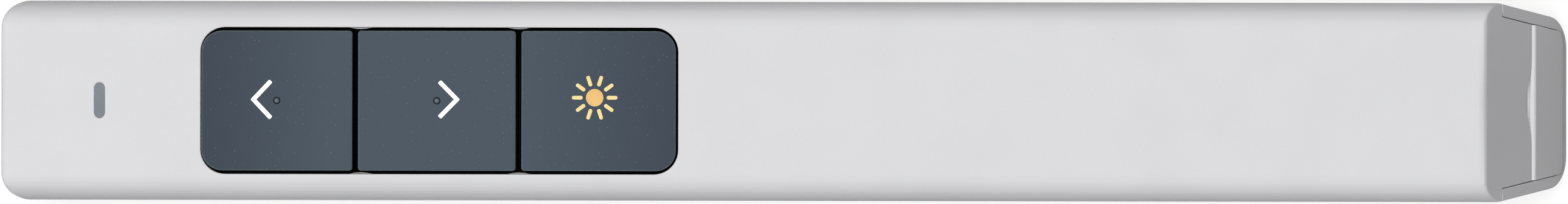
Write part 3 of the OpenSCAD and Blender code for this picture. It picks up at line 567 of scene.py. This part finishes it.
def softenCorners(bm, look):
    # a fine net of cuts round the two front corners, then their mitred edges are smoothed
    def cut(faces, axis, value):
        way = Vector([float(i == axis) for i in range(3)])
        parts = [p for f in faces for p in (f, *f.edges, *f.verts)]
        made = bmesh.ops.bisect_plane(bm, geom=unique(parts), dist=look["weld"] * mm,
                                      plane_co=way * value * mm, plane_no=way)
        return [g for g in made["geom"] if isinstance(g, bmesh.types.BMFace)]

    def ahead(face):
        return face.calc_center_median().x < look["backX"] * mm

    cut(bm.faces[:], 0, look["backX"])
    for side in (-1, 1):
        cut([f for f in bm.faces if ahead(f)], 1, side * look["fromY"])
    corner = [f for f in bm.faces if ahead(f)
              and abs(f.calc_center_median().y) > look["fromY"] * mm
              and all(skin.find_nearest(v.co)[3] < look["onSkin"] * mm for v in f.verts)]
    inside = set(corner)
    mitres = [tuple(v.co.copy() for v in e.verts)
              for e in unique(e for f in corner for e in f.edges)
              if all(f in inside for f in e.link_faces)
              and e.calc_face_angle() > radians(look["sharp"])]

    def offMitre(p):
        spots = [(a, b, intersect_point_line(p, a, b)[1]) for a, b in mitres]
        return min((p - a.lerp(b, min(max(share, 0), 1))).length for a, b, share in spots) / mm

    spots = [v.co / mm for f in corner for v in f.verts]
    for axis in range(3):
        low, high = min(p[axis] for p in spots), max(p[axis] for p in spots)
        for i in range(int((high - low) / look["gap"])):
            corner = cut(corner, axis, low + (i + look["firstCut"]) * look["gap"])
    inside = set(corner)
    picked = [v for v in unique(v for f in corner for v in f.verts)
              if all(f in inside for f in v.link_faces) and offMitre(v.co) < look["reach"]]
    for turn in range(look["rounds"]):
        bmesh.ops.smooth_vert(bm, verts=picked, factor=look["factor"],
                              use_axis_x=True, use_axis_y=True, use_axis_z=True)
    return len(picked)


roundings = ((byTail, "tail", 4), (byFront, "front", 2), (byPocket, "pocket", 4), (byRim, "rim", 2))
for node, look in casing.items():
    bm = casingCopy(node)
    if look["front"]:
        print(node, "corner points smoothed:", softenCorners(bm, frontCorner))
    # a cut below the front fillet keeps its shading off the wall
    bmesh.ops.bisect_plane(bm, geom=allOf(bm), plane_co=(0, 0, filletLow * mm), plane_no=(0, 0, 1))
    count = sum(roundEdges(bm, pick, look[part], steps) for pick, part, steps in roundings)
    shell = meshObject(node + "_moulding", bm, "shellWhite", look["body"])
    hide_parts(node)
    print(shell.name, "edges rounded:", count)

# receiver cap: soft edges on the side that shows at the tail
capLook = {"lip": 0.22, "lipHalf": 1, "lipBack": 3.5, "sides": 0.05, "sidesFrom": 5, "steps": 4}
capLow, capHigh = (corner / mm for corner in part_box("receiver_cap"))


def byLip(edge):
    p = middleOf(edge)
    return (abs(p.y) < capLook["lipHalf"] and p.z > capHigh.z - limits["level"]
            and p.x > capLow.x + capLook["lipBack"])


def bySides(edge):
    return abs(middleOf(edge).y) > capLook["sidesFrom"]


bm = mergedCopy("receiver_cap")
roundEdges(bm, byLip, capLook["lip"], capLook["steps"])
roundEdges(bm, bySides, capLook["sides"], capLook["steps"])
cap = meshObject("receiver_cap_moulding", bm, "shellWhite", "receiver")
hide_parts("receiver_cap")


def atHeight(z):
    return lambda edge: abs(middleOf(edge).z - z) < limits["level"]


# keys: the edge round the top rounded, measured beside the feel dot
keyNames = ("previous", "next", "laser")
keyLook = {"round": 0.17, "steps": 5, "besideDot": 3}
for name in keyNames:
    node = "key_" + name
    bm = mergedCopy(node)
    keyTop = max(v.co.z for v in bm.verts if abs(v.co.y) > keyLook["besideDot"] * mm) / mm
    roundEdges(bm, atHeight(keyTop), keyLook["round"], keyLook["steps"])
    key = meshObject(node + "_cap", bm, "keySlate", name + "_key")
    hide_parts(node)
print("keys done")

# indicator: softened pill, which fills its slot
bm = mergedCopy("light_guide")
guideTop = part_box("light_guide")[1].z / mm
neck = [v for v in bm.verts if v.co.z / mm > guideTop - guideLook["neck"]]
growGuide(neck, guideLook["pillGrow"])
roundEdges(bm, atHeight(guideTop), guideLook["round"], guideLook["steps"])
guide = meshObject("light_guide_pill", bm, "guideGrey", "body")
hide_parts("light_guide")

# printed icons: thin slabs let into the key tops
iconLook = {"sunk": 0.05, "proud": 0.012, "top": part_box("key_laser")[1].z / mm,
            "blunt": 0.3, "bluntSteps": 5, "smooth": 60}


def raiseIcon(bm):
    for v in bm.verts:
        v.co.z = iconLook["top"] - iconLook["sunk"]
    thicken(bm, iconLook["sunk"] + iconLook["proud"])
    toMetres(bm)


chevrons = {
    "previous": {"tip": (-48.695, 0.095), "way": 1, "reach": 1.58, "half": 1.675, "stroke": 0.405},
    "next": {"tip": (-30.39, 0.12), "way": -1, "reach": 1.59, "half": 1.615, "stroke": 0.4},
}
for name, look in chevrons.items():
    arm = Vector((look["reach"], look["half"]))
    across = Vector((arm.y, -arm.x)).normalized() * look["stroke"] / 2
    tipX = look["stroke"] / 2 * arm.length / arm.y
    corners = [(-tipX, 0), arm - across, arm + across, (tipX, 0)]
    corners += [(c[0], -c[1]) for c in (arm + across, arm - across)]
    bm = bmesh.new()
    verts = [bm.verts.new((look["tip"][0] + look["way"] * c[0], look["tip"][1] + c[1], 0))
             for c in corners]
    bm.faces.new(verts)
    blunt = [verts[i] for i in (0, 1, 2, 4, 5)]
    bmesh.ops.bevel(bm, geom=blunt, offset=look["stroke"] * iconLook["blunt"],
                    segments=iconLook["bluntSteps"], profile=0.5, affect="VERTICES",
                    clamp_overlap=True, material=-1)
    raiseIcon(bm)
    meshObject("chevron_" + name, bm, "chevronWhite", name + "_key",
               iconLook["smooth"])

sunLook = {"centre": (-18.0, 0.3), "disc": 0.785, "discSteps": 48, "rayFrom": 1.075,
           "rayTo": 2.055, "rayWidth": 0.35, "raySteps": 16, "rays": 10}
bm = bmesh.new()
bmesh.ops.create_circle(bm, cap_ends=True, segments=sunLook["discSteps"], radius=sunLook["disc"])
bmesh.ops.translate(bm, verts=bm.verts, vec=(*sunLook["centre"], 0))
raiseIcon(bm)
meshObject("sun_disc", bm, "sunOrange", "laser_key", iconLook["smooth"])
bm = bmesh.new()
half = sunLook["rayWidth"] / 2
bmesh.ops.create_circle(bm, cap_ends=True, segments=sunLook["raySteps"], radius=half)
far = [v for v in bm.verts if v.co.x > limits["level"]]
bmesh.ops.translate(bm, verts=bm.verts, vec=(sunLook["rayFrom"] + half, 0, 0))
bmesh.ops.translate(bm, verts=far,
                    vec=(sunLook["rayTo"] - sunLook["rayFrom"] - 2 * half, 0, 0))
turns = sunLook["rays"] - 1
bmesh.ops.spin(bm, geom=bm.faces[:], cent=(0, 0, 0), axis=(0, 0, 1), dvec=(0, 0, 0),
               angle=2 * pi / sunLook["rays"] * turns, steps=turns, use_duplicate=True)
bmesh.ops.translate(bm, verts=bm.verts, vec=(*sunLook["centre"], 0))
raiseIcon(bm)
meshObject("sun_rays", bm, "sunYellow", "laser_key", iconLook["smooth"])
print("icons done")

# inner pieces: edges of moulded, turned and sheared parts broken, in mm
bodyOf = {n: body for body, names in frame["record"]["behaviour"]["bodies"].items() for n in names}
inner = {
    "battery_box": 0.045, "positive_contact": 0.05, "negative_contact": 0.05, "battery_nub": 0.25,
    "usb_tongue": 0.15, "usb_shell": 0.05, "usb_contacts": 0.03, "receiver_board": 0.05,
    "laser_barrel": 0.12, "laser_diode": 0.1, "laser_board": 0.05, "laser_window": 0.1,
    "main_board": 0.05, "board_screws": 0.05, "case_screws": 0.05, "box_screws": 0.05,
}
switchParts = {"switch_base_": 0.08, "switch_plate_": 0.04, "switch_plunger_": 0.06}
for key in keyNames:
    inner.update({part + key: width for part, width in switchParts.items()})
innerSteps = 2
for node, width in inner.items():
    bm = mergedCopy(node)
    roundEdges(bm, lambda e: True, width, innerSteps)
    slotName = nodeSlot[node]
    piece = meshObject(node + "_made", bm, slotFinish[slotName], bodyOf[node])
    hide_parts(node)
print("inner pieces:", len(inner))


def slab(bm, low, high):
    middle = [(a + b) / 2 for a, b in zip(low, high)]
    size = [b - a for a, b in zip(low, high)]
    place = Matrix.Translation(middle) @ Matrix.Diagonal((*size, 1))
    return bmesh.ops.create_cube(bm, size=1, matrix=place)["verts"]


def finishSlabs(bm, widthMm):
    toMetres(bm)
    roundEdges(bm, lambda e: True, widthMm, innerSteps)


# radio chip under the board: moulded body, pads round its edge, pin mark on its face
chipLook = {"inset": 0.08, "faceIn": 0.02, "boardGap": 0.05, "round": 0.08,
            "padLong": 0.4, "padWide": 0.24, "padThick": 0.15, "pads": 8, "padFree": 1.2,
            "padRound": 0.02, "mark": 0.3, "markThick": 0.06, "markIn": 0.9, "markSteps": 24}
low, high = (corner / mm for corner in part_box("radio_chip"))
edge = chipLook["inset"]
bm = bmesh.new()
slab(bm, (low.x + edge, low.y + edge, low.z + chipLook["faceIn"]),
     (high.x - edge, high.y - edge, high.z - chipLook["boardGap"]))
finishSlabs(bm, chipLook["round"])
chip = meshObject("radio_chip_body", bm, "chipBlack", "body")
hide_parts("radio_chip")
bm = bmesh.new()
row = high.y - low.y - chipLook["padFree"]
step = row / (chipLook["pads"] - 1)
long, half = chipLook["padLong"], chipLook["padWide"] / 2
base = high.z - chipLook["padThick"]
middleX, middleY = (low.x + high.x) / 2, (low.y + high.y) / 2
for i in range(chipLook["pads"]):
    across = -row / 2 + i * step
    for a, b in ((low.x, low.x + long), (high.x - long, high.x)):
        slab(bm, (a, middleY + across - half, base), (b, middleY + across + half, high.z))
    for a, b in ((low.y, low.y + long), (high.y - long, high.y)):
        slab(bm, (middleX + across - half, a, base), (middleX + across + half, b, high.z))
finishSlabs(bm, chipLook["padRound"])
meshObject("radio_chip_pads", bm, "steel", "body")
bm = bmesh.new()
bmesh.ops.create_circle(bm, cap_ends=True, segments=chipLook["markSteps"], radius=chipLook["mark"])
thicken(bm, chipLook["markThick"])
markIn = chipLook["markIn"]
bmesh.ops.translate(bm, verts=bm.verts, vec=(low.x + markIn, low.y + markIn, low.z))
toMetres(bm)
meshObject("radio_chip_mark", bm, "guideGrey", "body")

# crystal: ceramic base on the board and a drawn lid
crystalLook = {"base": 0.3, "step": 0.15, "sunk": 0.05, "lidRound": 0.12, "baseRound": 0.05}
low, high = (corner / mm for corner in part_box("crystal"))
split, step = high.z - crystalLook["base"], crystalLook["step"]
bm = bmesh.new()
slab(bm, (low.x + step, low.y + step, low.z),
     (high.x - step, high.y - step, split + crystalLook["sunk"]))
finishSlabs(bm, crystalLook["lidRound"])
lid = meshObject("crystal_lid", bm, "steel", "body")
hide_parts("crystal")
bm = bmesh.new()
slab(bm, (low.x, low.y, split), high)
finishSlabs(bm, crystalLook["baseRound"])
meshObject("crystal_base", bm, "passiveTan", "body")

# chip capacitors: tan middles with tinned ends
passiveLook = {"end": 0.28, "slim": 0.03, "short": 0.05, "round": 0.03, "endRound": 0.04}
whole = mergedCopy("board_passives")
bodies, ends, visited = bmesh.new(), bmesh.new(), set()
for start in whole.verts:
    if start in visited:
        continue
    group, queue = [], [start]
    visited.add(start)
    while queue:
        v = queue.pop()
        group.append(v.co / mm)
        near = [e.other_vert(v) for e in v.link_edges]
        queue += [n for n in near if n not in visited]
        visited.update(near)
    low = Vector([min(p[i] for p in group) for i in range(3)])
    high = Vector([max(p[i] for p in group) for i in range(3)])
    axis = 0 if high.x - low.x > high.y - low.y else 1  # ends lie on the long way
    slim = Vector([passiveLook["slim"]] * 3)
    slim[axis] = passiveLook["short"]
    slab(bodies, low + slim, high - slim)
    reach = passiveLook["end"] * (high[axis] - low[axis])
    nearEnd, farEnd = high.copy(), low.copy()
    nearEnd[axis], farEnd[axis] = low[axis] + reach, high[axis] - reach
    slab(ends, low, nearEnd)
    slab(ends, farEnd, high)
whole.free()
finishSlabs(bodies, passiveLook["round"])
finishSlabs(ends, passiveLook["endRound"])
middles = meshObject("board_passives_middles", bodies, "passiveTan", "body")
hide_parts("board_passives")
meshObject("board_passives_ends", ends, "steel", "body")

# indicator LED: pale base with a tapered clear cap
ledLook = {"base": 0.22, "taper": 0.86, "inX": 0.06, "inY": 0.25, "sunk": 0.02,
           "round": 0.06, "baseRound": 0.03}
low, high = (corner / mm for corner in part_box("indicator_led"))
inX, inY, base = ledLook["inX"], ledLook["inY"], low.z + ledLook["base"]
bm = bmesh.new()
verts = slab(bm, (low.x + inX, low.y + inY, base - ledLook["sunk"]),
             (high.x - inX, high.y - inY, high.z))
middle = (low + high) / 2
for v in verts:
    if v.co.z > high.z - limits["level"]:
        v.co.xy = middle.xy + (v.co.xy - middle.xy) * ledLook["taper"]
finishSlabs(bm, ledLook["round"])
lens = meshObject("indicator_led_cap", bm, "ledClear", "body")
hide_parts("indicator_led")
bm = bmesh.new()
slab(bm, low, (high.x, high.y, base))
finishSlabs(bm, ledLook["baseRound"])
meshObject("indicator_led_base", bm, "chevronWhite", "body")

# battery cell: wrap with crimped shoulders over bright steel ends, drawn from end to flank
cellLook = {"steps": 72, "steelTo": 4.05, "flankX": 0.55, "weld": 0.001,
            "shoulder": [(0, 0), (0, 3.75), (0.12, 3.85), (0.14, 4.05), (0.05, 4.12),
                         (0.02, 4.5), (0.08, 4.85), (0.26, 5.1)]}
low, high = (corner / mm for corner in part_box("battery_cell"))
shoulder = cellLook["shoulder"] + [(cellLook["flankX"], (high.z - low.z) / 2)]
outline = [(low.x + x, r) for x, r in shoulder] + [(high.x - x, r) for x, r in reversed(shoulder)]
bm = bmesh.new()
line = [bm.verts.new((x, 0, r)) for x, r in outline]
for a, b in zip(line, line[1:]):
    bm.edges.new((a, b))
bmesh.ops.spin(bm, geom=bm.verts[:] + bm.edges[:], cent=(0, 0, 0), axis=(1, 0, 0), dvec=(0, 0, 0),
               angle=2 * pi, steps=cellLook["steps"], use_merge=True)
bmesh.ops.remove_doubles(bm, verts=bm.verts, dist=cellLook["weld"])
bmesh.ops.recalc_face_normals(bm, faces=bm.faces)
steelTo = cellLook["steelTo"] + limits["level"]
for f in bm.faces:
    f.material_index = int(max(v.co.yz.length for v in f.verts) < steelTo)
bmesh.ops.translate(bm, verts=bm.verts, vec=(0, 0, (low.z + high.z) / 2))
toMetres(bm)
cell = meshObject("battery_cell_wrap", bm, "cellWrap", "body")
cell.data.materials.append(finish["steel"])
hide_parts("battery_cell")

# contact spring: narrowing coil of round wire, its ends a little inside the solid's
springLook = {"wide": 3.4, "slim": 2.3, "wire": 0.5, "wireSteps": 3, "turns": 4, "steps": 28,
              "axisZ": 6.6, "endIn": 1.1, "weld": 0.001, "smooth": 60}
low, high = (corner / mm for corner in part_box("negative_spring"))
coil = bpy.data.curves.new("springPath", "CURVE")
coil.dimensions = "3D"
coil.bevel_depth = springLook["wire"] / 2 * mm
coil.bevel_resolution = springLook["wireSteps"]
coil.use_fill_caps = True
count = springLook["turns"] * springLook["steps"]
path = coil.splines.new("POLY")
path.points.add(count)
endIn = springLook["wire"] * springLook["endIn"]
first, last = high.x - endIn, low.x + endIn
for i, point in enumerate(path.points):
    share, turn = i / count, 2 * pi * i / springLook["steps"]
    r = springLook["wide"] + (springLook["slim"] - springLook["wide"]) * share
    point.co = (*(Vector((first + (last - first) * share, r * cos(turn),
                          springLook["axisZ"] + r * sin(turn))) * mm), 1)
wound = bpy.data.objects.new("springPath", coil)
bpy.context.scene.collection.objects.link(wound)
bm = bmesh.new()
wire = bpy.data.meshes.new_from_object(wound)
bm.from_mesh(wire)
bmesh.ops.remove_doubles(bm, verts=bm.verts, dist=springLook["weld"] * mm)
bmesh.ops.recalc_face_normals(bm, faces=bm.faces)
bpy.data.objects.remove(wound)
bpy.data.curves.remove(coil)
bpy.data.meshes.remove(wire)
spring = meshObject("negative_spring_coil", bm, "steel", "body", springLook["smooth"])
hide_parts("negative_spring")

# leads: their insulation rounded
leadLook = {"smooth": 180, "levels": 2}
for node in ("battery_lead", "laser_leads"):
    slotName = nodeSlot[node]
    lead = meshObject(node + "_wire", mergedCopy(node), slotFinish[slotName], "body",
                      leadLook["smooth"])
    lead.modifiers.clear()
    rounder = lead.modifiers.new("rounder", "SUBSURF")
    rounder.levels = rounder.render_levels = leadLook["levels"]
    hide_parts(node)
print("small parts done")


# floor, world, lamps and camera

def seenDirectly(tree):
    # 1 where the camera or a reflection looks at it, 0 where it only lights other things
    path = tree.nodes.new("ShaderNodeLightPath")
    seen = mathNode(tree, "MAXIMUM", path.outputs["Is Camera Ray"], path.outputs["Is Glossy Ray"])
    return mathNode(tree, "MAXIMUM", seen, path.outputs["Is Transmission Ray"])


def stageFloor(look):
    bm = bmesh.new()
    bmesh.ops.create_grid(bm, x_segments=2, y_segments=2, size=look["half"])
    mesh = bpy.data.meshes.new("floor")
    bm.to_mesh(mesh)
    bm.free()
    mat, tree, shader, place = startMaterial("floorPaper")
    fibre = noiseNode(tree, place, look["grain"], detail=2)
    tree.links.new(mixColour(tree, fibre, linear(look["dark"]), linear(look["light"])),
                   shader.inputs["Base Color"])
    shader.inputs["Roughness"].default_value = look["rough"]
    shader.inputs["Specular IOR Level"].default_value = 0
    shader.inputs["Emission Color"].default_value = (1, 1, 1, 1)
    tree.links.new(mathNode(tree, "MULTIPLY", seenDirectly(tree), look["lift"]),
                   shader.inputs["Emission Strength"])
    mesh.materials.append(mat)
    ob = bpy.data.objects.new("floor", mesh)
    ob.visible_diffuse = False
    bpy.context.scene.collection.objects.link(ob)


stageFloor({"half": 1.5, "grain": 4, "dark": (130, 130, 130), "light": (134, 134, 134),
            "rough": 0.9, "lift": 0.78})

worldLook = {"ambient": 0.04, "white": 1.0}
world = bpy.data.worlds.new("studio")
bpy.context.scene.world = world
world.use_nodes = True
tree = world.node_tree
tree.nodes.clear()
out = tree.nodes.new("ShaderNodeOutputWorld")
sky = tree.nodes.new("ShaderNodeBackground")
sky.inputs["Color"].default_value = (1, 1, 1, 1)
tree.links.new(rangeNode(tree, seenDirectly(tree), 0, 1, worldLook["ambient"], worldLook["white"]),
               sky.inputs["Strength"])
tree.links.new(sky.outputs["Background"], out.inputs["Surface"])

lampLook = {
    # one wide box overhead, a little towards the front end, and three low panels on the floor
    # that lift the long sides and the front wall
    "lampOver": {"place": (-0.72, 0.05, 3.4), "aim": (0, 0, 0), "size": (2.4, 1.8), "power": 127.5},
    "lampGlowBack": {"place": (0.04, 0.022, 0.001), "aim": (0.04, 0.022, 1), "size": (0.25, 0.024),
                     "power": 0.0113},
    "lampGlowFront": {"place": (0.04, -0.022, 0.001), "aim": (0.04, -0.022, 1),
                      "size": (0.25, 0.024), "power": 0.0113},
    "lampGlowEnd": {"place": (-0.09, 0, 0.001), "aim": (-0.09, 0, 1), "size": (0.03, 0.04),
                    "power": 0.0024},
}
for name, look in lampLook.items():
    lamp = bpy.data.lights.new(name, "AREA")
    lamp.shape = "RECTANGLE"
    lamp.size, lamp.size_y = look["size"]
    lamp.energy = look["power"]
    ob = bpy.data.objects.new(name, lamp)
    ob.location = look["place"]
    ob.rotation_mode = "QUATERNION"
    way = Vector(look["aim"]) - Vector(look["place"])
    ob.rotation_quaternion = way.to_track_quat("-Z", "Y")
    ob.visible_camera = False
    bpy.context.scene.collection.objects.link(ob)

cameraLook = {"place": (-0.97, -0.055, 514), "lens": 127.5, "sensor": 36, "clip": (0.01, 10),
              "roll": 0.1}
camera = bpy.data.cameras.new("camera")
camera.lens = cameraLook["lens"]
camera.sensor_width = cameraLook["sensor"]
camera.clip_start, camera.clip_end = cameraLook["clip"]
eye = bpy.data.objects.new("camera", camera)
eye.location = [v * mm for v in cameraLook["place"]]
eye.rotation_euler = (0, 0, radians(cameraLook["roll"]))
bpy.context.scene.collection.objects.link(eye)
bpy.context.scene.camera = eye
bpy.context.scene.view_settings.view_transform = "Standard"
print("stage done")
